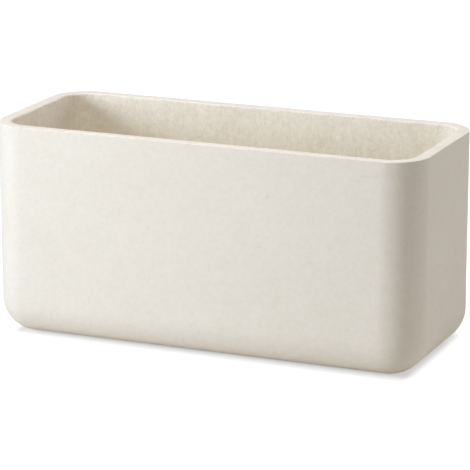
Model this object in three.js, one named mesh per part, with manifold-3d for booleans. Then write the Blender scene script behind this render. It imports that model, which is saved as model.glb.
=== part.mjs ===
// A rectangular trough planter, moulded in one piece from fibre cement, with upright corners and
// a base edge that are generously rounded. Two rubber stoppers close the drain holes in its floor
// and pull up and out by their grips. Four thin rubber pads glued to the underside carry it.
//
// Millimetres, +Z up. X runs along the trough, Y across it. The origin is on the ground, under
// the middle of the trough.

import * as THREE from "three";
import { mergeVertices } from "three/addons/utils/BufferGeometryUtils.js";
import Module from "manifold-3d";

const wasm = await Module();
wasm.setup();

// Trough shell
const troughLength = 600; // outside
const troughWidth = 250; // outside
const troughHeight = 287; // underside to rim
const wallThickness = 17;
const floorThickness = 18;
const cornerRadius = 51; // upright corners, outside
const baseEdgeRadius = 47; // roll from wall to underside, outside
const rimEase = 2; // chamfer on both edges of the rim

// Drain holes, on the long centreline
const drainHoleDiameter = 25;
const drainHoleSpacing = 300;

// Rubber stoppers
const stopperClearance = 0.3; // radial, between rib and hole
const stopperRibHeight = 1.2;
const stopperRibWidth = 3;
const stopperRibCount = 2;
const stopperEndRecess = 2; // how far the lower end stays above the underside
const stopperEndTaper = 3;
const flangeOverlap = 7; // how far the flange covers the floor round the hole
const flangeThickness = 4;
const flangeEase = 1;
const gripLength = 18;
const gripHeight = 10;
const gripThickness = 5;
const gripCornerRadius = 4;

// Rubber pads
const padDiameter = 30;
const padHeight = 2;
const padEase = 0.5;
const padSetback = 6; // from the edge of the flat underside to the pad

// Faceting
const cornerArcSteps = 12; // per upright corner
const baseEdgeSteps = 10;
const roundSteps = 40; // round a hole, stopper or pad
const gripCornerSteps = 6;

// Worked out from the sizes above
const smallestPlanRadius = 1;
const overcut = 5; // how far a cutting tool runs past what it cuts
const baseRoll = Math.min(baseEdgeRadius, cornerRadius - smallestPlanRadius);
const cavityCornerRadius = Math.max(cornerRadius - wallThickness, 2 * smallestPlanRadius);
const cavityBaseRoll = Math.max(
  Math.min(baseRoll - wallThickness, cavityCornerRadius - smallestPlanRadius),
  smallestPlanRadius / 2,
);
const undersideZ = padHeight;
const soilFloorZ = undersideZ + floorThickness;
const rimZ = undersideZ + troughHeight;
const drainHoleRadius = drainHoleDiameter / 2;
const drainHoleXs = [-drainHoleSpacing / 2, drainHoleSpacing / 2];

const fibreCement = new THREE.MeshStandardMaterial({
  name: "fibre_cement",
  color: 0xebe5d8,
  roughness: 0.85,
  metalness: 0,
});
const stopperRubber = new THREE.MeshStandardMaterial({
  name: "stopper_rubber",
  color: 0x34342f,
  roughness: 0.7,
  metalness: 0,
});
const padRubber = new THREE.MeshStandardMaterial({
  name: "pad_rubber",
  color: 0x4c4a46,
  roughness: 0.8,
  metalness: 0,
});

// A three.js geometry as a solid that can be joined and cut.
function solid(geometry) {
  const bare = new THREE.BufferGeometry();
  const loose = geometry.index ? geometry.toNonIndexed() : geometry;
  bare.setAttribute("position", loose.getAttribute("position"));
  const merged = mergeVertices(bare, 1e-4);
  return new wasm.Manifold(
    new wasm.Mesh({
      numProp: 3,
      vertProperties: merged.attributes.position.array,
      triVerts: new Uint32Array(merged.index.array),
    }),
  );
}

// A solid back as a three.js geometry.
function geometryOf(made) {
  const mesh = made.getMesh();
  const geometry = new THREE.BufferGeometry();
  geometry.setAttribute("position", new THREE.BufferAttribute(mesh.vertProperties, 3));
  geometry.setIndex(new THREE.BufferAttribute(mesh.triVerts, 1));
  geometry.computeVertexNormals();
  return geometry;
}

// The trough's outline seen from above, or a smaller one like it, centred on the origin.
function roundedRectangle(length, width, radius) {
  const x = length / 2 - radius;
  const y = width / 2 - radius;
  const shape = new THREE.Shape();
  shape.absarc(x, -y, radius, -Math.PI / 2, 0);
  shape.absarc(x, y, radius, 0, Math.PI / 2);
  shape.absarc(-x, y, radius, Math.PI / 2, Math.PI);
  shape.absarc(-x, -y, radius, Math.PI, 1.5 * Math.PI);
  shape.closePath();
  return shape;
}

// An upright block of that outline from bottomZ to topZ, with both ends rolled in by `roll`.
function rolledBlock(outline, bottomZ, topZ, roll, rollSteps) {
  const geometry = new THREE.ExtrudeGeometry(outline, {
    depth: topZ - bottomZ - 2 * roll,
    bevelThickness: roll,
    bevelSize: roll,
    bevelOffset: -roll,
    bevelSegments: rollSteps,
    curveSegments: cornerArcSteps / 2, // three.js doubles this on an arc
  });
  return solid(geometry.translate(0, 0, bottomZ + roll));
}

// The outside of the trough: the base roll at its lower end, the eased edge at the rim.
function outerForm() {
  const outline = roundedRectangle(troughLength, troughWidth, cornerRadius);
  const pastRim = rimZ + baseRoll + overcut;
  const belowBase = undersideZ - rimEase - overcut;
  const rolledAtBase = rolledBlock(outline, undersideZ, pastRim, baseRoll, baseEdgeSteps);
  const easedAtRim = rolledBlock(outline, belowBase, rimZ, rimEase, 1);
  return rolledAtBase.intersect(easedAtRim);
}

// The space for soil, which opens at the rim and flares there by the same ease.
function soilSpace() {
  const length = troughLength - 2 * wallThickness;
  const width = troughWidth - 2 * wallThickness;
  const outline = roundedRectangle(length, width, cavityCornerRadius);
  const pastRim = rimZ + cavityBaseRoll + overcut;
  const cavity = rolledBlock(outline, soilFloorZ, pastRim, cavityBaseRoll, baseEdgeSteps);
  const mouth = roundedRectangle(
    length + 2 * rimEase,
    width + 2 * rimEase,
    cavityCornerRadius + rimEase,
  );
  const flare = rolledBlock(mouth, rimZ - rimEase, rimZ + overcut, rimEase, 1);
  return cavity.add(flare);
}

// A drain hole's cutter, right through the floor.
function drainHole(x) {
  const depth = floorThickness + 2 * overcut;
  const cylinder = new THREE.CylinderGeometry(
    drainHoleRadius,
    drainHoleRadius,
    depth,
    roundSteps,
  );
  cylinder.rotateX(Math.PI / 2);
  cylinder.translate(x, 0, undersideZ + floorThickness / 2);
  return solid(cylinder);
}

function troughShell() {
  let shell = outerForm().subtract(soilSpace());
  for (const x of drainHoleXs) {
    shell = shell.subtract(drainHole(x));
  }
  const mesh = new THREE.Mesh(geometryOf(shell), fibreCement);
  mesh.name = "trough_shell";
  return mesh;
}

// A turned body about the Z axis from [radius, height] pairs, lowest first.
function turned(profile) {
  const points = profile.map(([radius, height]) => new THREE.Vector2(radius, height));
  return new THREE.LatheGeometry(points, roundSteps).rotateX(Math.PI / 2);
}

// The stopper's shank, ribs and flange. Height 0 is the flange's underside, on the floor.
function stopperBody() {
  const ribRadius = drainHoleRadius - stopperClearance;
  const shankRadius = ribRadius - stopperRibHeight;
  const shankLength = floorThickness - stopperEndRecess;
  const flangeRadius = drainHoleRadius + flangeOverlap;
  const ribPitch = (shankLength - stopperEndTaper) / (stopperRibCount + 1);
  const profile = [
    [0, -shankLength],
    [shankRadius - stopperRibHeight, -shankLength],
    [shankRadius, -shankLength + stopperEndTaper],
  ];
  for (let rib = 1; rib <= stopperRibCount; rib += 1) {
    const middle = -shankLength + stopperEndTaper + rib * ribPitch;
    profile.push(
      [shankRadius, middle - stopperRibWidth / 2],
      [ribRadius, middle],
      [shankRadius, middle + stopperRibWidth / 2],
    );
  }
  profile.push(
    [shankRadius, 0],
    [flangeRadius, 0],
    [flangeRadius, flangeThickness - flangeEase],
    [flangeRadius - flangeEase, flangeThickness],
    [0, flangeThickness],
  );
  return solid(turned(profile));
}

// The upright grip on the flange, rounded at its upper corners and rooted in the flange.
function stopperGrip() {
  const half = gripLength / 2;
  const root = flangeThickness / 2;
  const top = flangeThickness + gripHeight;
  const arcX = half - gripCornerRadius;
  const arcZ = top - gripCornerRadius;
  const side = new THREE.Shape();
  side.moveTo(-half, root);
  side.lineTo(half, root);
  side.absarc(arcX, arcZ, gripCornerRadius, 0, Math.PI / 2);
  side.absarc(-arcX, arcZ, gripCornerRadius, Math.PI / 2, Math.PI);
  side.closePath();
  const geometry = new THREE.ExtrudeGeometry(side, {
    depth: gripThickness,
    bevelEnabled: false,
    curveSegments: gripCornerSteps / 2,
  });
  return solid(geometry.translate(0, 0, -gripThickness / 2).rotateX(Math.PI / 2));
}

function drainStopper(name, x) {
  const mesh = new THREE.Mesh(geometryOf(stopperBody().add(stopperGrip())), stopperRubber);
  mesh.name = name;
  mesh.position.set(x, 0, soilFloorZ);
  return mesh;
}

function footPad(name, x, y) {
  const radius = padDiameter / 2;
  const geometry = turned([
    [0, 0],
    [radius - padEase, 0],
    [radius, padEase],
    [radius, padHeight],
    [0, padHeight],
  ]);
  const mesh = new THREE.Mesh(geometry, padRubber);
  mesh.name = name;
  mesh.position.set(x, y, 0);
  return mesh;
}

const planter = new THREE.Group();
planter.add(troughShell());
planter.add(drainStopper("drain_stopper_left", drainHoleXs[0]));
planter.add(drainStopper("drain_stopper_right", drainHoleXs[1]));

const padX = troughLength / 2 - baseRoll - padSetback - padDiameter / 2;
const padY = troughWidth / 2 - baseRoll - padSetback - padDiameter / 2;
for (const [end, x] of [["left", -padX], ["right", padX]]) {
  for (const [side, y] of [["front", -padY], ["back", padY]]) {
    planter.add(footPad(`foot_pad_${end}_${side}`, x, y));
  }
}

export default planter;
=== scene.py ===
"""A rectangular trough planter, moulded in one piece from off-white fibre cement.

The trough shell, its two rubber drain stoppers and its four rubber foot pads are modelled here
and dressed. Everything is in metres, +Z up: X runs along the trough to its right end, Y across
it to the back, and the origin is on the ground under the middle of the trough.
"""

import logging
import math
import random
from dataclasses import dataclass
from enum import Enum
from typing import Callable, Iterable

import bmesh
import bpy
from bmesh.types import BMEdge, BMFace, BMesh
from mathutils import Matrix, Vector, noise


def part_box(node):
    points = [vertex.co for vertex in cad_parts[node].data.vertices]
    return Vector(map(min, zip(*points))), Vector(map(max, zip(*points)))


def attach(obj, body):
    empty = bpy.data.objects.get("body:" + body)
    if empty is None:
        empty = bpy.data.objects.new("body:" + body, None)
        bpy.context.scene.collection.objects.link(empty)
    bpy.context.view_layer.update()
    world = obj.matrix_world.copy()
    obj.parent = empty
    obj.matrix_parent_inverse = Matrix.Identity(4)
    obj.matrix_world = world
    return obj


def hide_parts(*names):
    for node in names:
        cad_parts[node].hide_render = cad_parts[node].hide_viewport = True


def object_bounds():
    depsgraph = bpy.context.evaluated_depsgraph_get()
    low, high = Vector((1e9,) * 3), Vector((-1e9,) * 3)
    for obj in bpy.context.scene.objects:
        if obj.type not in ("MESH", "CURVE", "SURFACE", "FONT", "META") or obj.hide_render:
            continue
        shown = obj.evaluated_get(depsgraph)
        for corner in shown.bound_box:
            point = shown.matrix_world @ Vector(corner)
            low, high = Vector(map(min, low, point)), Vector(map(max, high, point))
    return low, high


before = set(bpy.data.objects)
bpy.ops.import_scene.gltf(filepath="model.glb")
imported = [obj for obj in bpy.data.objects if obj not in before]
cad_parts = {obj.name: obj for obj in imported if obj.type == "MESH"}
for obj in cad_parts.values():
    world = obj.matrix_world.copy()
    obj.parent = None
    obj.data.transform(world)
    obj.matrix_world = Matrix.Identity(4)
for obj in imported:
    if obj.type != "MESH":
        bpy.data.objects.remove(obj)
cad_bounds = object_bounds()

MM = 0.001
CLOSE = 1e-6

Colour = tuple[float, float, float]
Socket = bpy.types.NodeSocket

log = logging.getLogger("planter")


class Body(Enum):
    """The bodies that pieces ride on."""

    TROUGH = "trough"
    STOPPER_LEFT = "stopper_left"
    STOPPER_RIGHT = "stopper_right"


class Slot(Enum):
    """The material slots that pieces take their finish from."""

    FIBRE_CEMENT = "fibre_cement"
    STOPPER_RUBBER = "stopper_rubber"
    PAD_RUBBER = "pad_rubber"


# Helpers for meshes


def between(value: float, start: float, end: float) -> float:
    """Returns how far value is from start to end, eased, from 0 to 1."""
    share = min(1.0, max(0.0, (value - start) / (end - start)))
    return share * share * (3.0 - 2.0 * share)


def edges_where(mesh: BMesh, test: Callable[[BMEdge], bool]) -> list[BMEdge]:
    """Returns the edges of a mesh that pass a test."""
    return [edge for edge in mesh.edges if test(edge)]


def level(edge: BMEdge, z: float) -> bool:
    """Returns whether both ends of an edge lie at height z."""
    return all(abs(vert.co.z - z) < CLOSE for vert in edge.verts)


def direction(edge: BMEdge) -> Vector:
    """Returns an edge's unit direction, without its sign."""
    along = (edge.verts[1].co - edge.verts[0].co).normalized()
    return Vector(abs(part) for part in along)


def bevel(mesh: BMesh, edges: Iterable[BMEdge], size: float, segments: int) -> None:
    """Rounds edges off with a circular profile.

    Args:
        mesh: The mesh that holds the edges.
        edges: The edges to round.
        size: The radius, in metres.
        segments: How many facets make the round.
    """
    bmesh.ops.bevel(
        mesh,
        geom=list(edges),
        offset=size,
        offset_type="OFFSET",
        affect="EDGES",
        segments=segments,
        profile=0.5,
        material=-1,
    )


@dataclass(frozen=True)
class Ring:
    """One level of a lofted form: its height, its half sizes and how square it is."""

    z: float
    half_x: float
    half_y: float
    power: float = 2.0

    def point(self, angle: float) -> Vector:
        """Finds the ring's point in one direction.

        Args:
            angle: The direction, in radians from +X.

        Returns:
            The point, which is a circle's or an ellipse's at a power of 2.
        """
        share = 2.0 / self.power
        x = math.copysign(abs(math.cos(angle)) ** share, math.cos(angle))
        y = math.copysign(abs(math.sin(angle)) ** share, math.sin(angle))
        return Vector((x * self.half_x, y * self.half_y, self.z))


def circle(z: float, radius: float) -> Ring:
    """Returns a round ring at height z."""
    return Ring(z, radius, radius)


def turns(steps: int, first: int = 0, end: float = 90.0) -> list[float]:
    """Returns the angles, in radians, of an arc's points from the first one up to end degrees."""
    return [math.radians(end * step / steps) for step in range(first, steps + 1)]


def loft(rings: list[Ring], segments: int) -> BMesh:
    """Skins rings into one closed form, with a flat face at its first and its last ring.

    Args:
        rings: The levels, in order.
        segments: How many points go round a ring.

    Returns:
        The form, with its faces pointing out.
    """
    mesh = bmesh.new()
    bmesh.ops.create_cone(mesh, cap_ends=True, segments=segments, radius1=1.0, radius2=1.0, depth=2.0)
    angles = {}
    for vert in mesh.verts:
        angles[vert] = math.atan2(vert.co.y, vert.co.x)
    cap = max(mesh.faces, key=lambda face: face.calc_center_median().z)
    last = {vert: angle for vert, angle in angles.items() if vert.co.z > 0.0}
    for vert, angle in angles.items():
        vert.co = rings[1 if vert in last else 0].point(angle)
    for ring in rings[2:]:
        order = [last[vert] for vert in cap.verts]
        cap = bmesh.ops.extrude_discrete_faces(mesh, faces=[cap])["faces"][0]
        last = dict(zip(cap.verts, order))
        for vert, angle in last.items():
            vert.co = ring.point(angle)
    bmesh.ops.recalc_face_normals(mesh, faces=mesh.faces)
    return mesh


def place_mesh(mesh: BMesh, name: str, material: bpy.types.Material) -> bpy.types.Object:
    """Puts a mesh into the scene.

    Args:
        mesh: The mesh, in its place. It is freed here.
        name: The object's name.
        material: The finish.

    Returns:
        The object.
    """
    data = bpy.data.meshes.new(name)
    mesh.to_mesh(data)
    mesh.free()
    data.materials.append(material)
    placed = bpy.data.objects.new(name, data)
    bpy.context.scene.collection.objects.link(placed)
    return placed


def finish_mesh(mesh: BMesh, name: str, body: Body, nodes: Iterable[str],
                material: bpy.types.Material) -> bpy.types.Object:
    """Turns a mesh into a dressed piece of the planter.

    Args:
        mesh: The mesh, in its place. It is freed here.
        name: The piece's name.
        body: The body that the piece rides on.
        nodes: The nodes that the piece stands for.
        material: The finish.

    Returns:
        The piece.
    """
    piece = place_mesh(mesh, name, material)
    piece.data.shade_smooth()
    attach(piece, body.value)
    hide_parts(*nodes)
    log.info("%s: %d faces on body %s", name, len(piece.data.polygons), body.value)
    return piece


# Finishes


class Graph:
    """Lays out the nodes of a material or of the world."""

    def __init__(self, owner: bpy.types.Material | bpy.types.World) -> None:
        """Starts an empty graph.

        Args:
            owner: The material or the world that the nodes are for.
        """
        self.owner = owner
        owner.use_nodes = True
        self.tree = owner.node_tree
        self.tree.nodes.clear()

    def add(self, kind: str, inputs: dict | None = None, **settings: object) -> bpy.types.Node:
        """Adds a node.

        Args:
            kind: The node's type, without the words ShaderNode in front.
            inputs: What each named or numbered input gets: a value, or a socket to link.
            **settings: The node's own properties.

        Returns:
            The node.
        """
        node = self.tree.nodes.new("ShaderNode" + kind)
        for name, value in settings.items():
            setattr(node, name, value)
        for key, value in (inputs or {}).items():
            if isinstance(value, bpy.types.NodeSocket):
                self.tree.links.new(value, node.inputs[key])
            else:
                node.inputs[key].default_value = value
        return node

    def math(self, operation: str, first: object, second: object = 0.0,
             clamp: bool = False) -> Socket:
        """Returns the result of a sum of two values or sockets."""
        node = self.add("Math", {0: first, 1: second}, operation=operation, use_clamp=clamp)
        return node.outputs[0]

    def noise(self, place: object, scale: float, detail: float = 3.0,
              roughness: float = 0.5) -> Socket:
        """Returns a noise between 0 and 1 with scale features to the metre."""
        inputs = {"Vector": place, "Scale": scale, "Detail": detail, "Roughness": roughness}
        return self.add("TexNoise", inputs).outputs[0]

    def spread(self, value: object, low: float, high: float, to_low: float = 0.0,
               to_high: float = 1.0) -> Socket:
        """Maps a value from one range to another.

        Args:
            value: The value or socket to map.
            low: Where the range that it comes from starts.
            high: Where that range ends.
            to_low: What low becomes.
            to_high: What high becomes.

        Returns:
            The mapped value, which never leaves the new range.
        """
        inputs = {
            "Value": value,
            "From Min": low,
            "From Max": high,
            "To Min": to_low,
            "To Max": to_high,
        }
        return self.add("MapRange", inputs, clamp=True).outputs[0]

    def blend(self, share: object, first: object, second: object,
              mode: str = "MIX") -> Socket:
        """Blends one colour towards another.

        Args:
            share: How much of the second colour there is, from 0 to 1.
            first: The first colour or socket.
            second: The second colour or socket.
            mode: How the second colour acts on the first.

        Returns:
            The blended colour.
        """
        node = self.add("Mix", {0: share}, data_type="RGBA", blend_type=mode)
        for key, value in ((6, first), (7, second)):
            if isinstance(value, bpy.types.NodeSocket):
                self.tree.links.new(value, node.inputs[key])
            else:
                node.inputs[key].default_value = (*value, 1.0)
        return node.outputs[2]

    def output(self, surface: Socket) -> bpy.types.Material:
        """Ends a material's graph with its surface and returns the material."""
        self.add("OutputMaterial", {"Surface": surface})
        return self.owner


@dataclass(frozen=True)
class FibreCement:
    """Off-white moulded fibre cement: smooth outside, open-pored on the rim, rough inside.

    The shell's "bare" attribute is 1 inside the trough, and its "lip" attribute 1 on the rim.
    Scales are in features to the metre. A pair of depths says how strongly a pattern shows on
    the smooth outside, and where the surface is open-pored. A pore share is the part of the
    cells that hold a bubble on the smooth outside, and open_pore_share what is added to it
    where the surface is open-pored.
    """

    rim_height: float
    outside: Colour = (0.851, 0.823, 0.763)
    # the inside is yellower than the outside in its own right, and lighter than it as painted light
    # lifting the shade inside the trough
    inside: Colour = (0.913, 0.875, 0.79)
    # the rim is paler partly for its trimmed, open-pored face and partly as painted light on the
    # trough's top
    rim: Colour = (0.955, 0.925, 0.88)
    stain: Colour = (0.72, 0.63, 0.50)
    bloom: Colour = (0.93, 0.92, 0.90)
    # painted shade: the dark that falls into the pores' hollows
    hollow: Colour = (0.38, 0.32, 0.24)
    # painted shade: the inside turns darker and yellower towards its floor, as shade and bounce light
    # fall deep in the trough
    painted_shade_tint: Colour = (0.98, 0.958, 0.915)
    painted_shade_depth: float = 150 * MM
    cloud_scale: float = 8.0
    mottle_scale: float = 150.0
    grain_scale: float = 820.0
    dust_scale: float = 2600.0
    streak_scale: float = 130.0
    fine_streak_scale: float = 380.0
    wisp_scale: float = 75.0
    pore_scale: float = 230.0
    fine_pore_scale: float = 529.0
    pore_share: float = 0.12
    fine_pore_share: float = 0.20
    open_pore_share: float = 0.30
    pore_width: float = 0.42
    pore_edge: float = 22.0
    cloud_depths: tuple[float, float] = (0.10, 0.22)
    mottle_depths: tuple[float, float] = (0.05, 0.10)
    grain_depths: tuple[float, float] = (0.08, 0.22)
    wisp_depths: tuple[float, float] = (0.10, 0.0)
    mottle_heights: tuple[float, float] = (0.25, 0.45)
    grit_heights: tuple[float, float] = (0.12, 0.5)
    streak_length: float = 14.0
    fine_streak_length: float = 4.0
    streak_depth: float = 0.06
    fine_streak_depth: float = 0.08
    pore_shadow: float = 0.6
    bump_height: float = 0.6 * MM
    least_rough: float = 0.80
    most_rough: float = 0.94

    def material(self) -> bpy.types.Material:
        """Lays out the finish.

        Returns:
            The material.
        """
        graph = Graph(bpy.data.materials.new("fibre_cement"))
        place = graph.add("TexCoord").outputs["Object"]
        bare = graph.add("Attribute", attribute_name="bare").outputs["Fac"]
        lip = graph.add("Attribute", attribute_name="lip").outputs["Fac"]
        openness = graph.math("MAXIMUM", bare, lip)

        # the inside's colour carries painted shade, darker and yellower with depth
        base = graph.blend(bare, self.outside, self.inside_with_painted_shade(graph, place))
        # painted light, in part: the rim's top takes the paler rim colour
        base = graph.blend(lip, base, self.rim)
        base = self.cloud(graph, place, base, openness)
        mottle = graph.noise(place, self.mottle_scale, roughness=0.55)
        base = self.shade(graph, base, mottle, graph.spread(openness, 0.0, 1.0, *self.mottle_depths))
        grain = graph.noise(place, self.grain_scale, roughness=0.65)
        base = self.shade(graph, base, grain, graph.spread(openness, 0.0, 1.0, *self.grain_depths))
        base = self.shade(graph, base, *self.wisps(graph, place, openness))
        for scale, length, depth in (
            (self.streak_scale, self.streak_length, self.streak_depth),
            (self.fine_streak_scale, self.fine_streak_length, self.fine_streak_depth),
        ):
            streaks = self.streaks(graph, place, scale, length)
            base = self.shade(graph, base, streaks, graph.spread(bare, 0.0, 1.0, 0.0, depth))
        pores = self.pores(graph, place, openness)
        # painted shade darkens the pores
        base = graph.blend(graph.math("MULTIPLY", pores, self.pore_shadow), base, self.hollow)

        dust = graph.noise(place, self.dust_scale, detail=2.0, roughness=0.6)
        height = graph.spread(openness, 0.0, 1.0, *self.mottle_heights)
        height = graph.math("MULTIPLY", mottle, height)
        grit = graph.math("ADD", graph.math("MULTIPLY", grain, 0.5), graph.math("MULTIPLY", dust, 0.2))
        grit = graph.math("MULTIPLY", grit, graph.spread(openness, 0.0, 1.0, *self.grit_heights))
        height = graph.math("SUBTRACT", graph.math("ADD", height, grit), pores)
        bump = graph.add("Bump", {"Strength": 0.8, "Distance": self.bump_height, "Height": height})
        rough = graph.spread(grain, 0.3, 0.7, self.least_rough, self.most_rough)
        surface = graph.add(
            "BsdfPrincipled",
            {
                "Base Color": base,
                "Roughness": rough,
                "Specular IOR Level": 0.35,
                "Normal": bump.outputs[0],
            },
        )
        return graph.output(surface.outputs[0])

    def inside_with_painted_shade(self, graph: Graph, place: Socket) -> Socket:
        """Colours the inside darker and yellower with depth, as painted shade and bounce light deep in
        the trough.

        Args:
            graph: The material's graph.
            place: Where the surface is.

        Returns:
            The inside's colour.
        """
        height = graph.add("SeparateXYZ", {0: place}).outputs["Z"]
        share = graph.spread(height, self.rim_height - self.painted_shade_depth, self.rim_height, 1.0, 0.0)
        return graph.blend(share, self.inside, self.painted_shade_tint, "MULTIPLY")

    def cloud(self, graph: Graph, place: Socket, base: Socket, openness: Socket) -> Socket:
        """Lays broad faint stains and pale bloom over the base colour.

        Args:
            graph: The material's graph.
            place: Where the surface is.
            base: The colour so far.
            openness: How open-pored the surface is, from 0 to 1.

        Returns:
            The new colour.
        """
        broad = graph.noise(place, self.cloud_scale, detail=4.0, roughness=0.55)
        small = graph.noise(place, 5 * self.cloud_scale, detail=4.0, roughness=0.6)
        both = graph.math("MULTIPLY", graph.math("ADD", broad, small), 0.5)
        reach = graph.spread(openness, 0.0, 1.0, *self.cloud_depths)
        stained = graph.math("MULTIPLY", graph.spread(both, 0.5, 0.66), reach)
        bloomed = graph.math("MULTIPLY", graph.spread(both, 0.48, 0.34), reach)
        base = graph.blend(stained, base, self.stain)
        return graph.blend(bloomed, base, self.bloom)

    def shade(self, graph: Graph, base: Socket, pattern: Socket, depth: Socket) -> Socket:
        """Darkens and lightens the colour by a pattern.

        Args:
            graph: The material's graph.
            base: The colour so far.
            pattern: The pattern, about 0.5 on average.
            depth: How far apart the darkest and the lightest come.

        Returns:
            The new colour.
        """
        swing = graph.spread(pattern, 0.25, 0.75, -0.5, 0.5)
        factor = graph.math("ADD", graph.math("MULTIPLY", swing, depth), 1.0)
        grey = graph.add("CombineColor", {0: factor, 1: factor, 2: factor}).outputs[0]
        return graph.blend(1.0, base, grey, "MULTIPLY")

    def wisps(self, graph: Graph, place: Socket, openness: Socket) -> tuple[Socket, Socket]:
        """Draws faint dark wisps where the mix met the mould.

        Args:
            graph: The material's graph.
            place: Where the surface is.
            openness: How open-pored the surface is, from 0 to 1.

        Returns:
            The wisps' pattern, and how much it darkens.
        """
        inputs = {"Vector": place, "Scale": self.wisp_scale, "Detail": 3.0, "Roughness": 0.6,
                  "Distortion": 1.6}
        drift = graph.add("TexNoise", inputs).outputs[0]
        pattern = graph.spread(drift, 0.62, 0.74, 0.5, 0.25)
        return pattern, graph.spread(openness, 0.0, 1.0, *self.wisp_depths)

    def streaks(self, graph: Graph, place: Socket, scale: float, length: float) -> Socket:
        """Returns upright streaks, length times as long as wide, as a brush leaves in the wet inside."""
        drawn = graph.add("Mapping", {"Vector": place, "Scale": (1.0, 1.0, 1.0 / length)}).outputs[0]
        return graph.noise(drawn, scale, roughness=0.6)

    def pores(self, graph: Graph, place: Socket, openness: Socket) -> Socket:
        """Returns open air bubbles: few and fine outside, more and wider where it is bare.

        Args:
            graph: The material's graph.
            place: Where the surface is.
            openness: How open-pored the surface is, from 0 to 1.

        Returns:
            How deep in a bubble a point is, from 0 to 1.
        """
        found = []
        for scale, share in (
            (self.pore_scale, self.pore_share),
            (self.fine_pore_scale, self.fine_pore_share),
        ):
            cells = graph.add("TexVoronoi", {"Vector": place, "Scale": scale})
            draw = graph.add("SeparateColor", {0: cells.outputs["Color"]}).outputs[0]
            least = 1.0 - share
            threshold = graph.spread(openness, 0.0, 1.0, least, least - self.open_pore_share)
            spare = graph.math("MULTIPLY", graph.math("SUBTRACT", draw, threshold), self.pore_width)
            rim = graph.math("SUBTRACT", spare, cells.outputs["Distance"])
            found.append(graph.math("MULTIPLY", rim, self.pore_edge, clamp=True))
        return graph.math("MAXIMUM", *found)


@dataclass(frozen=True)
class Rubber:
    """Moulded rubber with a fine matte grain."""

    name: str
    colour: Colour
    dust: Colour = (0.30, 0.28, 0.25)
    roughness: float = 0.65
    patch_scale: float = 180.0
    grain_scale: float = 2600.0
    dust_depth: float = 0.12
    bump_height: float = 0.2 * MM

    def material(self) -> bpy.types.Material:
        """Lays out the finish.

        Returns:
            The material.
        """
        graph = Graph(bpy.data.materials.new(self.name))
        place = graph.add("TexCoord").outputs["Object"]
        patches = graph.noise(place, self.patch_scale, detail=4.0, roughness=0.6)
        dusty = graph.spread(patches, 0.5, 0.75, 0.0, self.dust_depth)
        base = graph.blend(dusty, self.colour, self.dust)
        grain = graph.noise(place, self.grain_scale, detail=2.0, roughness=0.6)
        bump = graph.add("Bump", {"Strength": 0.35, "Distance": self.bump_height, "Height": grain})
        rough = graph.spread(patches, 0.3, 0.7, self.roughness - 0.1, self.roughness + 0.12)
        surface = graph.add(
            "BsdfPrincipled",
            {"Base Color": base, "Roughness": rough, "Normal": bump.outputs[0]},
        )
        return graph.output(surface.outputs[0])


# The planter's pieces


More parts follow.
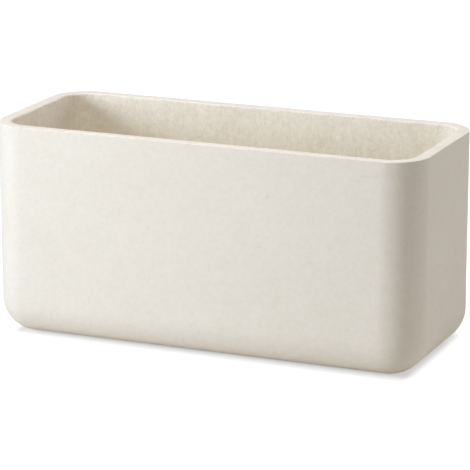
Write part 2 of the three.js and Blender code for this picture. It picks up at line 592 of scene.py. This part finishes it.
@dataclass
class TroughShell:
    """The one-piece moulded trough: four walls, rim, rolled base and a floor with two holes.

    The lip starts and is full at these shares of the rim's round, below the rim's top. Nick
    depths are shares of a nick's radius, and an offset sets one noise apart from another.
    """

    low: Vector
    high: Vector
    holes: list[Vector]
    wall: float = 17 * MM
    floor: float = 18 * MM
    corner_radius: float = 51 * MM
    base_radius: float = 47 * MM
    rim_round: float = 0.8 * MM
    rim_inner_round: float = 2.2 * MM
    hole_radius: float = 12.5 * MM
    hole_round: float = 1.2 * MM
    hole_points: int = 48
    hole_ring: float = 1.25
    corner_segments: int = 38
    base_segments: int = 11
    rim_segments: int = 4
    rim_rows: int = 7
    column_width: float = 2.1 * MM
    columns_joined: int = 4
    first_row: float = 1.2 * MM
    row_growth: float = 1.25
    fine_row: float = 3 * MM
    fine_depth: float = 60 * MM
    wide_row: float = 7 * MM
    wander: float = 0.35 * MM
    wander_period: float = 110 * MM
    rough: float = 0.45 * MM
    rough_period: float = 34 * MM
    rough_offset: tuple[float, float, float] = (7.0, 3.0, 1.0)
    lip_height: float = 12 * MM
    lip_start: float = 1.1
    lip_full: float = 0.5
    lip_drop: float = 0.14 * MM
    lip_least: float = 1.2
    lip_outer: float = 0.2 * MM
    lip_inner: float = 1.25 * MM
    lip_period: float = 21 * MM
    lip_offset: tuple[float, float, float] = (2.0, 9.0, 4.0)
    lip_fine: float = 0.45
    lip_fine_offset: tuple[float, float, float] = (5.0, 1.0, 8.0)
    nick_reach: float = 6 * MM
    nick_inner_chance: float = 4.0
    nick_radii: tuple[float, float] = (1.2 * MM, 3 * MM)
    nick_depths: tuple[float, float] = (0.2, 0.45)
    nick_count: int = 150
    nick_seed: int = 11

    def build(self, material: bpy.types.Material) -> bpy.types.Object:
        """Makes the shell and dresses it.

        Args:
            material: The fibre cement.

        Returns:
            The piece.
        """
        mesh = self.block()
        self.hollow(mesh)
        for place in self.holes:
            self.drill(mesh, place)
        self.divide(mesh)
        self.mark(mesh)
        self.weather(mesh)
        name = "trough_shell_moulded"
        return finish_mesh(mesh, name, Body.TROUGH, ["trough_shell"], material)

    def block(self) -> BMesh:
        """Makes the trough's outer form.

        Returns:
            A solid block with rounded corners and a rolled base.
        """
        mesh = bmesh.new()
        bmesh.ops.create_cube(mesh, size=1.0)
        bmesh.ops.scale(mesh, vec=self.high - self.low, verts=mesh.verts)
        bmesh.ops.translate(mesh, vec=(self.low + self.high) / 2, verts=mesh.verts)
        uprights = edges_where(mesh, lambda edge: direction(edge).z > 0.9)
        bevel(mesh, uprights, self.corner_radius, self.corner_segments)
        base = edges_where(mesh, lambda edge: level(edge, self.low.z))
        bevel(mesh, base, self.base_radius, self.base_segments)
        return mesh

    def hollow(self, mesh: BMesh) -> None:
        """Sinks the space for soil into the block, with a rolled floor edge, and eases the rim.

        Args:
            mesh: The solid block.
        """
        top = max(mesh.faces, key=lambda face: face.calc_center_median().z)
        bmesh.ops.inset_region(mesh, faces=[top], thickness=self.wall, use_even_offset=True)
        sunk = bmesh.ops.extrude_discrete_faces(mesh, faces=[top])["faces"][0]
        depth = self.high.z - self.low.z - self.floor
        bmesh.ops.translate(mesh, vec=(0.0, 0.0, -depth), verts=sunk.verts)
        bevel(mesh, sunk.edges, self.base_radius - self.wall, self.base_segments)
        for is_inner, size in ((False, self.rim_round), (True, self.rim_inner_round)):
            rim = edges_where(mesh, lambda edge: self.is_fold(edge, is_inner))
            bevel(mesh, rim, size, self.rim_segments)

    def is_fold(self, edge: BMEdge, is_inner: bool) -> bool:
        """Tells the rim's square edges from the others.

        Args:
            edge: The edge.
            is_inner: Whether the inner edge is wanted, and not the outer one.

        Returns:
            Whether the edge is part of the wanted one.
        """
        slopes = [abs(face.normal.z) for face in edge.link_faces]
        is_square = max(slopes) > 0.9 and min(slopes) < 0.1
        is_deep = self.inset(edge.verts[0].co) > self.wall / 2
        return level(edge, self.high.z) and is_square and is_deep == is_inner

    def drill(self, mesh: BMesh, place: Vector) -> None:
        """Cuts a drain hole through the floor, with both its edges eased.

        Args:
            mesh: The trough's mesh.
            place: A point on the hole's axis.
        """
        caps = []
        for z in (self.low.z, self.low.z + self.floor):
            caps.append(self.ring_round(mesh, Vector((place.x, place.y, z))))
        mouths = [edge for cap in caps for edge in cap.edges]
        bmesh.ops.delete(mesh, geom=caps, context="FACES_ONLY")
        bmesh.ops.bridge_loops(mesh, edges=mouths)
        bevel(mesh, mouths, self.hole_round, self.rim_segments)

    def ring_round(self, mesh: BMesh, centre: Vector) -> BMFace:
        """Cuts a round face, as wide as a drain hole, into the level face round centre.

        Args:
            mesh: The trough's mesh.
            centre: The hole's middle, on the face.

        Returns:
            The round face.
        """
        reach = 2 * self.hole_radius
        for side in (Vector((reach, 0, 0)), Vector((-reach, 0, 0)), Vector((0, reach, 0)),
                     Vector((0, -reach, 0))):
            face = self.face_round(mesh, centre)
            parts = [face, *face.edges, *face.verts]
            bmesh.ops.bisect_plane(mesh, geom=parts, dist=CLOSE, plane_co=centre + side, plane_no=side)
        face = self.face_round(mesh, centre)
        bmesh.ops.subdivide_edges(mesh, edges=face.edges, cuts=self.hole_points // 4 - 1)
        face = self.face_round(mesh, centre)
        bmesh.ops.inset_region(mesh, faces=[face], thickness=self.hole_radius / 50)
        for vert in face.verts:
            vert.co = centre + self.to_circle(vert.co - centre) * (self.hole_ring * self.hole_radius)
        bmesh.ops.inset_region(mesh, faces=[face], thickness=(self.hole_ring - 1.0) * self.hole_radius)
        return face

    def to_circle(self, gap: Vector) -> Vector:
        """Turns a point of a square into one of a circle, evenly round it.

        Args:
            gap: The point, from the square's middle.

        Returns:
            The matching point of a circle with a radius of 1.
        """
        if abs(gap.x) > abs(gap.y):
            turn = math.pi / 4 * gap.y / gap.x
            return Vector((math.cos(turn), math.sin(turn), 0.0)) * math.copysign(1.0, gap.x)
        turn = math.pi / 4 * gap.x / gap.y
        return Vector((math.sin(turn), math.cos(turn), 0.0)) * math.copysign(1.0, gap.y)

    def face_round(self, mesh: BMesh, centre: Vector) -> BMFace:
        """Finds the level face round a point.

        Args:
            mesh: The trough's mesh.
            centre: The point.

        Returns:
            The smallest level face whose bounds hold the point.
        """
        found = []
        for face in mesh.faces:
            gaps = [vert.co - centre for vert in face.verts]
            if max(abs(gap.z) for gap in gaps) > CLOSE:
                continue
            holds_x = min(gap.x for gap in gaps) < 0.0 < max(gap.x for gap in gaps)
            holds_y = min(gap.y for gap in gaps) < 0.0 < max(gap.y for gap in gaps)
            if holds_x and holds_y:
                found.append(face)
        return min(found, key=lambda face: face.calc_area())

    def divide(self, mesh: BMesh) -> None:
        """Divides the walls and the rim, finely near the rim, to carry their unevenness.

        Args:
            mesh: The trough's mesh.
        """
        for depth in self.row_depths():
            parts = [*mesh.verts, *mesh.edges, *mesh.faces]
            height = Vector((0.0, 0.0, self.high.z - depth))
            bmesh.ops.bisect_plane(mesh, geom=parts, dist=CLOSE, plane_co=height, plane_no=(0, 0, 1))
        crossing = edges_where(mesh, self.crosses_rim)
        bmesh.ops.subdivide_edges(mesh, edges=crossing, cuts=self.rim_rows - 1)
        for axis in (Vector((1, 0, 0)), Vector((0, 1, 0))):
            length = 2 * (self.high.dot(axis) - self.corner_radius)
            along = edges_where(mesh, lambda edge: self.runs_straight(edge, axis, length))
            wide = round(length / (self.column_width * self.columns_joined))
            bmesh.ops.subdivide_edges(mesh, edges=along, cuts=wide - 1, use_grid_fill=True)
            stretch = length / wide
            fine = edges_where(mesh, lambda edge: self.runs_straight(edge, axis, stretch))
            near = [edge for edge in fine if self.is_near_rim(edge)]
            cuts = self.columns_joined - 1
            bmesh.ops.subdivide_edges(mesh, edges=near, cuts=cuts, use_grid_fill=True)

    def row_depths(self) -> list[float]:
        """Spaces the rows of the walls' faces, closest at the rim.

        Returns:
            How far below the rim each row ends.
        """
        depths = []
        depth = self.rim_inner_round
        row = self.first_row
        while depth + row < self.high.z - self.low.z - self.base_radius - self.wide_row / 2:
            depth += row
            depths.append(depth)
            limit = self.fine_row if depth < self.fine_depth else self.wide_row
            row = min(limit, row * self.row_growth)
        return depths

    def is_near_rim(self, edge: BMEdge) -> bool:
        """Returns whether a level edge is in the finely divided part of the walls."""
        return all(vert.co.z > self.high.z - self.fine_depth - MM for vert in edge.verts)

    def crosses_rim(self, edge: BMEdge) -> bool:
        """Returns whether an edge runs across the rim's flat top."""
        ends = [self.inset(vert.co) for vert in edge.verts]
        return level(edge, self.high.z) and abs(ends[0] - ends[1]) > self.wall / 2

    def runs_straight(self, edge: BMEdge, axis: Vector, length: float) -> bool:
        """Returns whether an edge is the whole straight stretch of a wall, of that length."""
        return direction(edge).dot(axis) > 0.999 and abs(edge.calc_length() - length) < MM

    def inset(self, place: Vector) -> float:
        """Measures how far a point lies inside the trough's outline, seen from above.

        Args:
            place: The point.

        Returns:
            The distance from the outline.
        """
        across_x = abs(place.x) - (self.high.x - self.corner_radius)
        across_y = abs(place.y) - (self.high.y - self.corner_radius)
        outside = math.hypot(max(across_x, 0.0), max(across_y, 0.0))
        return self.corner_radius - outside - min(max(across_x, across_y), 0.0)

    def mark(self, mesh: BMesh) -> None:
        """Writes on each point how far it is inside the trough, and how close to the rim's top.

        Args:
            mesh: The trough's mesh.
        """
        bare = mesh.verts.layers.float.new("bare")
        lip = mesh.verts.layers.float.new("lip")
        above_base = self.low.z + self.floor / 2
        for vert in mesh.verts:
            inset = self.inset(vert.co)
            in_round = self.rim_inner_round if inset > self.wall / 2 else self.rim_round
            vert[bare] = between(inset, self.wall - in_round, self.wall) * (vert.co.z > above_base)
            depth = self.high.z - vert.co.z
            vert[lip] = between(depth, self.lip_start * in_round, self.lip_full * in_round)

    def weather(self, mesh: BMesh) -> None:
        """Gives the walls and the rim the slight unevenness of a piece laid up by hand.

        Args:
            mesh: The trough's mesh, with its attributes.
        """
        bare = mesh.verts.layers.float["bare"]
        mesh.normal_update()
        shifts = []
        for vert in mesh.verts:
            place = vert.co
            height = between(place.z, self.low.z + self.floor, self.low.z + 2 * self.base_radius)
            slow = noise.noise(place / self.wander_period) - 0.5
            shift = vert.normal * (self.wander * slow * height)
            quick = noise.noise(place / self.rough_period + Vector(self.rough_offset))
            shift += vert.normal * (self.rough * quick * height * vert[bare])
            shifts.append(shift + self.lip_shift(place, vert.normal, vert[bare]))
        for vert, shift in zip(mesh.verts, shifts):
            vert.co += shift
        self.nick(mesh)
        for vert in mesh.verts:
            for axis in range(3):
                vert.co[axis] = min(self.high[axis], max(self.low[axis], vert.co[axis]))

    def lip_shift(self, place: Vector, normal: Vector, bare: float) -> Vector:
        """Works out how the rim, trimmed by hand, strays at a point.

        Args:
            place: The point.
            normal: The surface's direction there.
            bare: How far the point is inside the trough, from 0 to 1.

        Returns:
            How far the point moves, which is nothing below the rim.
        """
        near = between(place.z, self.high.z - self.lip_height, self.high.z - self.rim_round)
        if near == 0.0:
            return Vector()
        ripple = noise.noise(place / self.lip_period + Vector(self.lip_offset))
        fine = noise.noise(place / (self.lip_period / 4) + Vector(self.lip_fine_offset))
        uneven = ripple + self.lip_fine * fine
        drop = self.lip_drop * (self.lip_least + uneven)
        side = normal * (uneven * (self.lip_outer + (self.lip_inner - self.lip_outer) * bare))
        return Vector((side.x, side.y, -drop)) * near

    def nick(self, mesh: BMesh) -> None:
        """Presses small nicks and open pores into the rim's edges and top.

        Args:
            mesh: The trough's mesh, with its attributes.
        """
        draw = random.Random(self.nick_seed)
        bare = mesh.verts.layers.float["bare"]
        rim = [vert for vert in mesh.verts if vert.co.z > self.high.z - self.nick_reach]
        chances = [1.0 + self.nick_inner_chance * vert[bare] for vert in rim]
        for struck in draw.choices(rim, chances, k=self.nick_count):
            centre = struck.co.copy()
            radius = draw.uniform(*self.nick_radii)
            depth = radius * draw.uniform(*self.nick_depths)
            for vert in rim:
                gap = (vert.co - centre).length
                if gap < radius:
                    vert.co -= vert.normal * (depth * (1.0 - between(gap, 0.0, radius)))


@dataclass
class DrainStopper:
    """A moulded rubber stopper: ribbed shank, sealing flange and an upright grip.

    The recess's mouth and the shank's foot are given as heights, each with a step outward, and
    the shank's head the same way, from the flange's height.
    """

    name: str
    body: Body
    low: Vector
    high: Vector
    shank_radius: float = 11 * MM
    shank_start: float = 3 * MM
    shank_foot: tuple[tuple[float, float], ...] = (
        (0.0, -0.8 * MM),
        (0.25 * MM, -0.2 * MM),
        (0.9 * MM, 0.1 * MM),
    )
    shank_head: tuple[tuple[float, float], ...] = (
        (-0.6 * MM, 0.0),
        (0.05 * MM, 0.5 * MM),
        (0.35 * MM, 1.2 * MM),
    )
    rib_height: float = 1.2 * MM
    rib_width: float = 3.4 * MM
    rib_heights: tuple[float, float] = (7.3 * MM, 11.7 * MM)
    rib_steps: int = 8
    rib_power: float = 1.3
    flange_height: float = 16 * MM
    flange_thickness: float = 4 * MM
    flange_round: float = 1.4 * MM
    flange_low_round: float = 0.9 * MM
    flange_lift: float = 0.03 * MM
    flange_hollow: float = 0.3 * MM
    hollow_margin: float = 2.8 * MM
    seal_margin: float = 1.9 * MM
    flange_crown: float = 0.35 * MM
    crown_drop: float = 0.1 * MM
    crown_share: float = 0.78
    recess_radius: float = 6.2 * MM
    recess_depth: float = 9 * MM
    recess_roof: float = 0.6
    recess_bend: float = 0.3
    recess_mouth: tuple[tuple[float, float], ...] = (
        (0.8 * MM, 0.0),
        (0.25 * MM, 0.2 * MM),
        (0.0, 0.7 * MM),
    )
    grip_length: float = 18 * MM
    grip_thickness: float = 5 * MM
    grip_corner: float = 4 * MM
    grip_power: float = 4.5
    skirt_sink: float = 0.03 * MM
    skirt_spread: tuple[float, float] = (2.4 * MM, 4.5 * MM)
    skirt_power: float = 2.2
    root_power: float = 2.6
    root_round: float = 1.6 * MM
    edge_round: float = 1.1 * MM
    ridge_count: int = 4
    ridge_height: float = 0.32 * MM
    ridge_steps: int = 8
    segments: int = 112

    def build(self, node: str, material: bpy.types.Material) -> bpy.types.Object:
        """Makes the stopper and dresses it.

        Args:
            node: The node that it stands for.
            material: The rubber.

        Returns:
            The piece.
        """
        rings = self.recess() + self.shank() + self.flange() + self.grip()
        mesh = loft(rings, self.segments)
        middle = (self.low + self.high) / 2
        bmesh.ops.translate(mesh, vec=(middle.x, middle.y, self.low.z), verts=mesh.verts)
        return finish_mesh(mesh, self.name, self.body, [node], material)

    def recess(self) -> list[Ring]:
        """Shapes the hollow in the shank's lower end.

        Returns:
            Its rings, from its roof down.
        """
        rings = [circle(self.recess_depth, self.recess_roof * self.recess_radius)]
        for turn in turns(6, first=1):
            z = self.recess_depth - self.recess_bend * self.recess_radius * (1 - math.cos(turn))
            share = self.recess_roof + self.recess_bend * math.sin(turn)
            rings.append(circle(z, self.recess_radius * share))
        for z, out in self.recess_mouth:
            rings.append(circle(z, self.recess_radius + out))
        return rings

    def shank(self) -> list[Ring]:
        """Shapes the tapered lower end and the ribbed shank.

        Returns:
            Their rings, from the lowest up.
        """
        rings = []
        for z, out in self.shank_foot:
            rings.append(circle(z, self.shank_radius - self.rib_height + out))
        rings.append(circle(self.shank_start, self.shank_radius))
        for middle in self.rib_heights:
            for step in range(self.rib_steps + 1):
                along = step / self.rib_steps - 0.5
                rise = self.rib_height * math.cos(math.pi * along) ** self.rib_power
                rings.append(circle(middle + along * self.rib_width, self.shank_radius + rise))
        for rise, out in self.shank_head:
            rings.append(circle(self.flange_height + rise, self.shank_radius + out))
        return rings

    def flange(self) -> list[Ring]:
        """Shapes the flange: a hollowed underside, a round edge and a low crown.

        Returns:
            Its rings, from underneath round to its top.
        """
        outer = self.high.x / 2 - self.low.x / 2
        rings = [circle(self.flange_height + self.flange_hollow, outer - self.hollow_margin)]
        rings.append(circle(self.flange_height + self.flange_lift, outer - self.seal_margin))
        for turn in turns(5):
            z = self.flange_height + self.flange_lift + self.flange_low_round * (1 - math.cos(turn))
            rings.append(circle(z, outer - self.flange_low_round * (1 - math.sin(turn))))
        top = self.flange_height + self.flange_thickness
        for turn in turns(7):
            z = top - self.flange_crown - self.flange_round * (1 - math.sin(turn))
            rings.append(circle(z, outer - self.flange_round * (1 - math.cos(turn))))
        rings.append(circle(top - self.crown_drop, self.crown_share * outer))
        return rings

    def grip(self) -> list[Ring]:
        """Shapes the grip, with ridges across it to hold it by.

        Returns:
            Its rings, from its rounded root to its rounded top.
        """
        base = self.flange_height + self.flange_thickness
        top = self.high.z - self.low.z
        half_length = self.grip_length / 2
        half_thickness = self.grip_thickness / 2
        spread_x, spread_y = self.skirt_spread
        skirt = (half_length + spread_x, half_thickness + spread_y)
        rings = [Ring(base - self.skirt_sink, *skirt, self.skirt_power)]
        for step, turn in enumerate(turns(6)):
            spare = self.root_round * (1 - math.sin(turn))
            z = base + self.root_round * (1 - math.cos(turn))
            power = self.root_power + (self.grip_power - self.root_power) * step / 6
            rings.append(Ring(z, half_length + spare, half_thickness + spare, power))
        start = base + self.root_round
        end = top - self.edge_round
        steps = self.ridge_steps * self.ridge_count
        for step in range(1, steps + 1):
            z = start + (end - start) * step / steps
            wave = 0.5 - 0.5 * math.cos(2 * math.pi * self.ridge_count * step / steps)
            half = half_thickness - self.ridge_height * wave
            rings.append(Ring(z, self.half_length_at(z, top), half, self.grip_power))
        for turn in turns(6, first=1, end=86.0):
            z = end + self.edge_round * math.sin(turn)
            half = half_thickness - self.edge_round * (1 - math.cos(turn))
            rings.append(Ring(z, self.half_length_at(z, top), half, self.grip_power))
        return rings

    def half_length_at(self, z: float, top: float) -> float:
        """Measures the grip, which its round upper corners draw in.

        Args:
            z: The height at which it is measured.
            top: The height of the grip's top.

        Returns:
            Half the grip's length at that height.
        """
        rise = max(0.0, z - (top - self.grip_corner))
        drawn_in = self.grip_corner - math.sqrt(max(0.0, self.grip_corner**2 - rise**2))
        return self.grip_length / 2 - drawn_in


@dataclass
class FootPad:
    """A rubber pad with a rounded edge and grooves underneath against slipping."""

    name: str
    low: Vector
    high: Vector
    edge_round: float = 0.6 * MM
    groove_radii: tuple[float, float, float] = (4 * MM, 7.5 * MM, 11 * MM)
    groove_width: float = 1.2 * MM
    groove_depth: float = 0.4 * MM
    middle_radius: float = 1.5 * MM
    ease: float = 0.2 * MM
    segments: int = 72

    def build(self, node: str, material: bpy.types.Material) -> bpy.types.Object:
        """Makes the pad and dresses it.

        Args:
            node: The node that it stands for.
            material: The rubber.

        Returns:
            The piece.
        """
        mesh = loft(self.rings(), self.segments)
        middle = (self.low + self.high) / 2
        bmesh.ops.translate(mesh, vec=(middle.x, middle.y, self.low.z), verts=mesh.verts)
        return finish_mesh(mesh, self.name, Body.TROUGH, [node], material)

    def rings(self) -> list[Ring]:
        """Shapes the pad and its grooves.

        Returns:
            Its rings, from the middle of its underside round to its top.
        """
        outer = (self.high.x - self.low.x) / 2
        height = self.high.z - self.low.z
        rings = [circle(0.0, self.middle_radius)]
        shallow = self.groove_depth - self.ease
        for start in self.groove_radii:
            end = start + self.groove_width
            rings.append(circle(0.0, start - self.ease))
            rings.append(circle(shallow, start))
            rings.append(circle(self.groove_depth, start + self.ease))
            rings.append(circle(self.groove_depth, end - self.ease))
            rings.append(circle(shallow, end))
            rings.append(circle(0.0, end + self.ease))
        for turn in turns(5):
            z = self.edge_round * (1 - math.cos(turn))
            rings.append(circle(z, outer - self.edge_round * (1 - math.sin(turn))))
        rings.append(circle(height - self.ease, outer))
        rings.append(circle(height, outer - self.ease))
        return rings


# The studio


def toward(azimuth: float, elevation: float) -> Vector:
    """Turns two angles into a direction.

    Args:
        azimuth: The angle from the front round to the right, in radians.
        elevation: The angle above the ground, in radians.

    Returns:
        The direction, one unit long.
    """
    level_part = math.cos(elevation)
    x = math.sin(azimuth) * level_part
    return Vector((x, -math.cos(azimuth) * level_part, math.sin(elevation)))


@dataclass(frozen=True)
class Lamp:
    """A square soft lamp that points at the planter, placed by angles in degrees."""

    name: str
    azimuth: float
    elevation: float
    distance: float
    size: float
    power: float
    colour: Colour = (1.0, 1.0, 1.0)

    def build(self, target: Vector) -> bpy.types.Object:
        """Hangs the lamp, unseen by the camera.

        Args:
            target: The point that it shines at.

        Returns:
            The lamp.
        """
        data = bpy.data.lights.new(self.name, "AREA")
        data.shape = "SQUARE"
        data.size = self.size
        data.energy = self.power
        data.color = self.colour
        lamp = bpy.data.objects.new(self.name, data)
        back = toward(math.radians(self.azimuth), math.radians(self.elevation))
        lamp.location = target + back * self.distance
        lamp.rotation_mode = "QUATERNION"
        lamp.rotation_quaternion = (-back).to_track_quat("-Z", "Y")
        lamp.visible_camera = False
        bpy.context.scene.collection.objects.link(lamp)
        return lamp


@dataclass
class Studio:
    """A plain white floor, soft lamps, a dark card and the camera.

    The floor glows white to the camera from glow_full past a rectangle under the planter, which
    the insets draw in from its sides. Nearer to it the glow falls off, a painted shadow, and the
    planter's real shadow shows through it.
    """

    azimuth: float = math.radians(22.91)
    elevation: float = math.radians(14.86)
    distance: float = 3.728
    sideways: float = 0.0032
    upwards: float = 0.1341
    lens: float = 213.07
    sensor: float = 36.0
    ambient: float = 0.265
    ambient_colour: Colour = (1.0, 0.909, 0.831)
    floor_colour: Colour = (0.77, 0.735, 0.68)
    floor_seen: Colour = (0.5, 0.5, 0.5)
    # painted shadow: the floor's glow right by the planter
    glow_in_painted_shadow: float = 0.5
    glow_start: float = 5 * MM
    glow_full: float = 50 * MM
    # the insets and end_steepness shape the painted shadow: it reaches further behind the planter, away
    # from the key lamp, and ends sooner past its ends
    front_inset: float = 47 * MM
    back_inset: float = 20 * MM
    end_inset: float = 28 * MM
    end_steepness: float = 2.8
    floor_half: float = 20.0
    card_gap: float = 350 * MM
    card_lead: float = 125 * MM
    card_size: tuple[float, float, float] = (5 * MM, 1200 * MM, 800 * MM)
    card_colour: Colour = (0.02, 0.02, 0.02)
    lamps: tuple[Lamp, ...] = (
        Lamp("key_lamp", -44.2, 15.0, 2.2, 0.7, 28.0, (0.836, 0.914, 0.995)),
        Lamp("high_lamp", -15.0, 55.0, 1.5, 0.5, 3.0, (1.0, 0.967, 0.91)),
        Lamp("top_lamp", 0.0, 89.0, 2.0, 1.6, 15.6, (1.0, 0.948, 0.888)),
        Lamp("right_lamp", 125.0, 10.0, 3.0, 1.2, 13.4),
        Lamp("back_lamp", 165.0, 35.0, 3.0, 1.2, 9.0),
    )

    def build(self) -> None:
        """Makes the floor, the card, the world, the lamps and the camera."""
        self.floor()
        self.card()
        self.world()
        low, high = cad_bounds
        for lamp in self.lamps:
            lamp.build((Vector(low) + Vector(high)) / 2)
        self.camera()

    def seen(self, graph: Graph) -> Socket:
        """Tells looking rays from those that only carry light.

        Args:
            graph: The floor's or the world's graph.

        Returns:
            1 where a ray looks straight, by reflection or through glass, and 0 elsewhere.
        """
        path = graph.add("LightPath").outputs
        straight = graph.math("MAXIMUM", path["Is Camera Ray"], path["Is Glossy Ray"])
        return graph.math("MAXIMUM", straight, path["Is Transmission Ray"])

    def floor(self) -> None:
        """Lays a floor that looks white, with a painted shadow in its glow near the planter over the
        planter's real shadow.
        """
        mesh = bmesh.new()
        bmesh.ops.create_grid(mesh, x_segments=1, y_segments=1, size=self.floor_half)
        graph = Graph(bpy.data.materials.new("floor"))
        seen = self.seen(graph)
        # painted shadow: the floor's glow falls off near the planter
        glow_past_painted_shadow = graph.spread(self.gap(graph), self.glow_start, self.glow_full, self.glow_in_painted_shadow, 1.0)
        shine = graph.add("Emission", {"Strength": graph.math("MULTIPLY", seen, glow_past_painted_shadow)})
        colour = graph.blend(seen, self.floor_colour, self.floor_seen)
        plain = graph.add("BsdfDiffuse", {"Color": colour})
        both = graph.add("AddShader", {0: plain.outputs[0], 1: shine.outputs[0]})
        floor = place_mesh(mesh, "floor", graph.output(both.outputs[0]))

    def card(self) -> None:
        """Stands a dark card past the left end, unseen by the camera, to keep its corner calm."""
        low, high = cad_bounds
        size = Vector(self.card_size)
        corner = Vector((low[0] - self.card_gap - size.x, low[1] - self.card_lead, low[2]))
        mesh = bmesh.new()
        bmesh.ops.create_cube(mesh, size=1.0)
        bmesh.ops.scale(mesh, vec=size, verts=mesh.verts)
        bmesh.ops.translate(mesh, vec=corner + size / 2, verts=mesh.verts)
        graph = Graph(bpy.data.materials.new("card"))
        matte = graph.add("BsdfDiffuse", {"Color": (*self.card_colour, 1.0)})
        card = place_mesh(mesh, "card", graph.output(matte.outputs[0]))
        card.visible_camera = False

    def gap(self, graph: Graph) -> Socket:
        """Measures how far a place on the floor is from the planter's painted shadow, a rectangle under
        it.

        Args:
            graph: The floor's graph.

        Returns:
            The distance in metres, which grows faster past the planter's ends.
        """
        place = graph.add("TexCoord").outputs["Object"]
        parts = graph.add("SeparateXYZ", {0: place}).outputs
        low, high = cad_bounds
        squares = []
        for part, start, end, steepness in (
            (parts["X"], low[0] + self.end_inset, high[0] - self.end_inset, self.end_steepness),
            (parts["Y"], low[1] + self.front_inset, high[1] - self.back_inset, 1.0),
        ):
            before = graph.math("SUBTRACT", start, part)
            beyond = graph.math("MAXIMUM", before, graph.math("SUBTRACT", part, end))
            beyond = graph.math("MULTIPLY", graph.math("MAXIMUM", beyond, 0.0), steepness)
            squares.append(graph.math("MULTIPLY", beyond, beyond))
        return graph.math("SQRT", graph.math("ADD", *squares))

    def world(self) -> None:
        """Sets a background that looks white, and lights the planter at a plain level."""
        world = bpy.data.worlds.new("studio")
        bpy.context.scene.world = world
        graph = Graph(world)
        light = {"Color": (*self.ambient_colour, 1.0), "Strength": self.ambient}
        ambient = graph.add("Background", light).outputs[0]
        white = graph.add("Background", {"Color": (1.0, 1.0, 1.0, 1.0)}).outputs[0]
        mix = graph.add("MixShader", {0: self.seen(graph), 1: ambient, 2: white})
        graph.add("OutputWorld", {"Surface": mix.outputs[0]})

    def camera(self) -> None:
        """Sets up the camera at the photograph's viewing angle."""
        back = toward(self.azimuth, self.elevation)
        data = bpy.data.cameras.new("camera")
        data.sensor_fit = "AUTO"
        data.sensor_width = self.sensor
        data.lens = self.lens
        camera = bpy.data.objects.new("camera", data)
        rotation = (-back).to_track_quat("-Z", "Y")
        right = rotation @ Vector((1.0, 0.0, 0.0))
        up = rotation @ Vector((0.0, 1.0, 0.0))
        target = right * self.sideways + up * self.upwards
        camera.rotation_mode = "QUATERNION"
        camera.rotation_quaternion = rotation
        camera.location = target + back * self.distance
        bpy.context.scene.collection.objects.link(camera)
        bpy.context.scene.camera = camera


def main() -> None:
    """Builds the planter and its studio."""
    logging.basicConfig(level=logging.INFO, format="%(message)s")
    stoppers = []
    holes = []
    for side, body in (("left", Body.STOPPER_LEFT), ("right", Body.STOPPER_RIGHT)):
        low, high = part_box(f"drain_stopper_{side}")
        stoppers.append(DrainStopper(f"drain_stopper_{side}_rubber", body, Vector(low), Vector(high)))
        holes.append((Vector(low) + Vector(high)) / 2)
    trough_low, trough_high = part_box("trough_shell")
    cement = FibreCement(rim_height=trough_high[2]).material()
    TroughShell(Vector(trough_low), Vector(trough_high), holes).build(cement)

    stopper_rubber = Rubber("stopper_rubber", (0.035, 0.035, 0.032)).material()
    for stopper, side in zip(stoppers, ("left", "right")):
        stopper.build(f"drain_stopper_{side}", stopper_rubber)
    pad_rubber = Rubber("pad_rubber", (0.075, 0.07, 0.063), roughness=0.8).material()
    for end in ("left", "right"):
        for side in ("front", "back"):
            node = f"foot_pad_{end}_{side}"
            low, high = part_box(node)
            FootPad(f"{node}_rubber", Vector(low), Vector(high)).build(node, pad_rubber)

    Studio().build()
    bpy.context.scene.view_settings.view_transform = "Standard"


if __name__ == "__main__":
    main()
